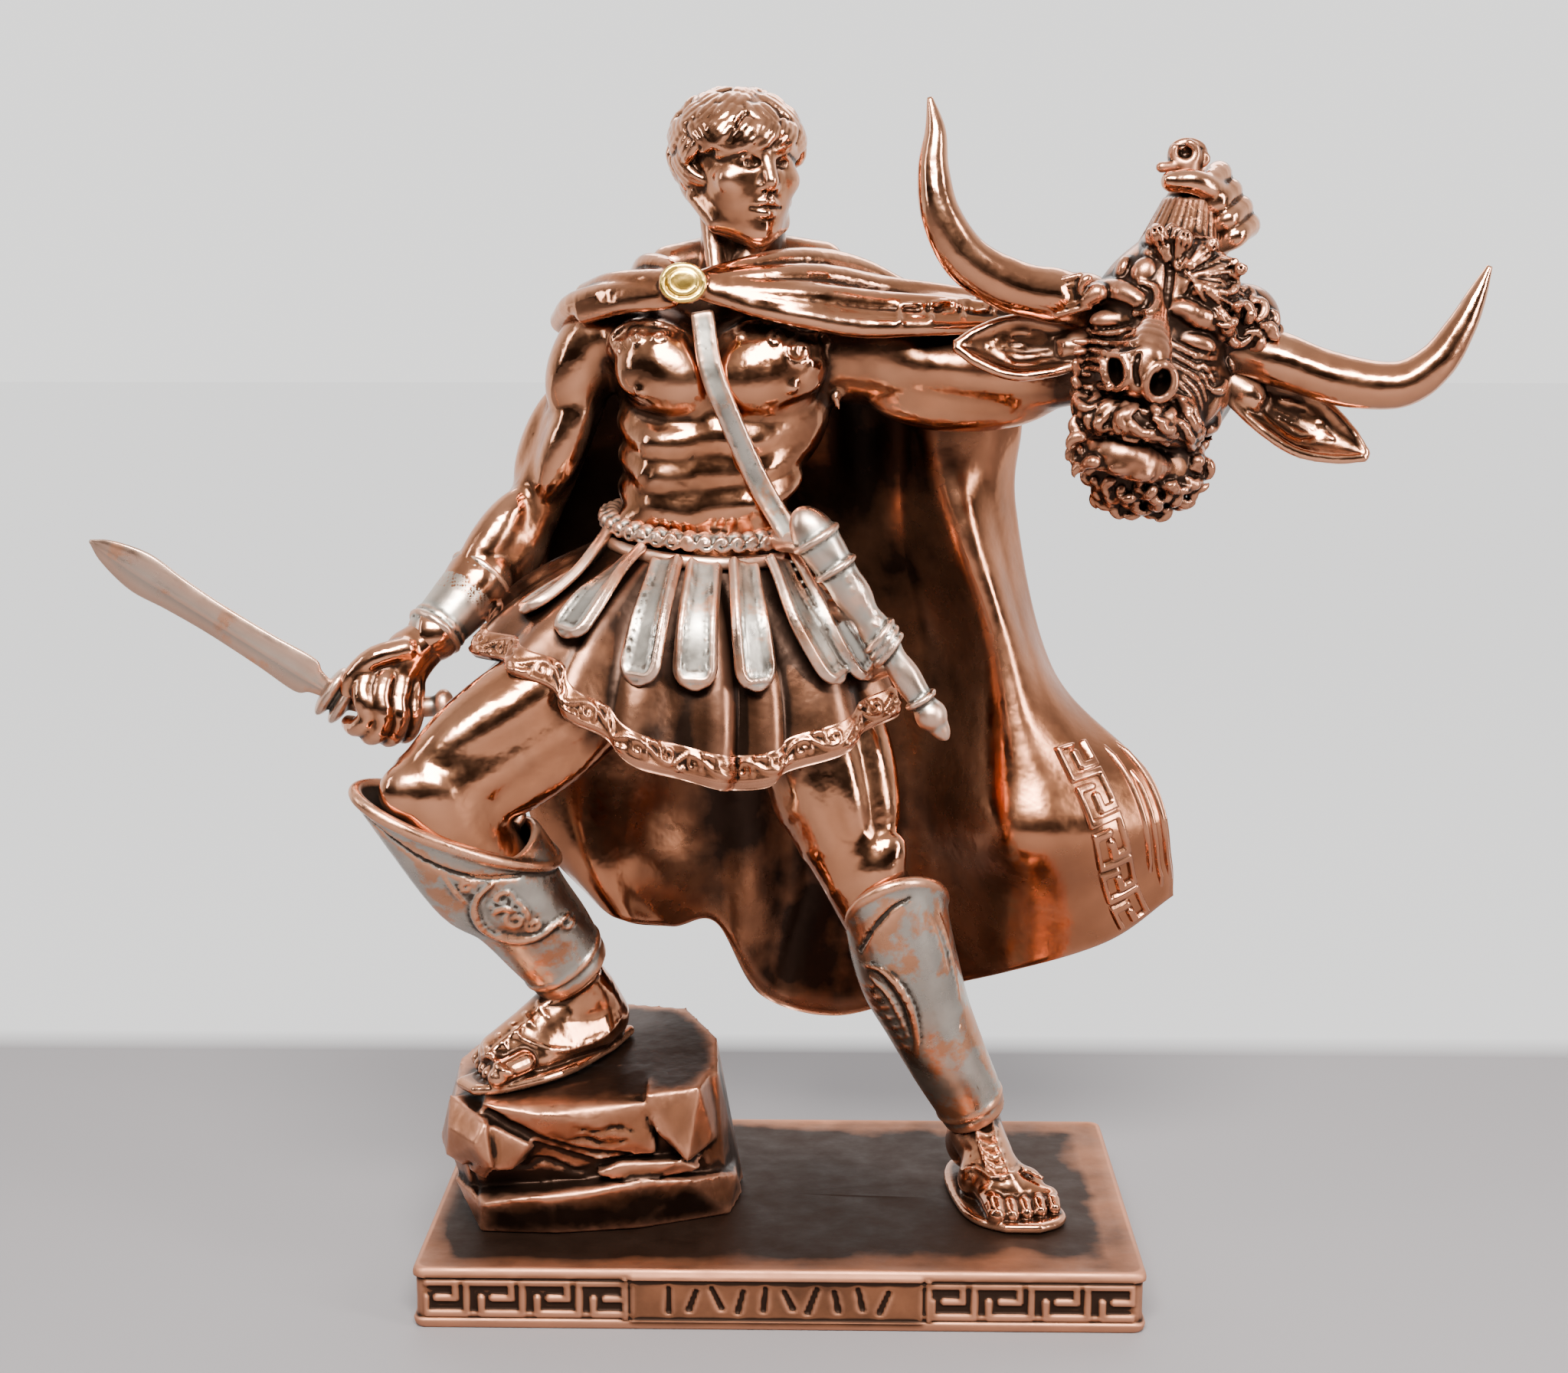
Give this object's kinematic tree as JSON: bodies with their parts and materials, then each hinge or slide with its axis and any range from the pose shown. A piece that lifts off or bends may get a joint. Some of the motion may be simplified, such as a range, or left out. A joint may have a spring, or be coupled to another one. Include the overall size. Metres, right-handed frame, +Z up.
{
  "type": "statuette of a hero with a minotaur head",
  "caption": "Copper-plated statuette of a caped hero with a sword who steps on a rock and holds up a horned minotaur head, on a rectangular plinth with a key border.",
  "frame": {"origin": "centre of the plinth's underside", "axes": "+X to the viewer's right, towards the minotaur's head; +Y away from the viewer, towards the cape; +Z up"},
  "size_m": [0.2011, 0.0677, 0.1804],
  "materials": {
    "plinth_copper": "satin copper plate with dark patina",
    "figure_copper": "polished copper plate, dark in the hollows, silver paint on greaves, straps and sword"
  },
  "bodies": {
    "root": {"plinth": "plinth_copper", "figure": "figure_copper"}
  },
  "joints": []
}
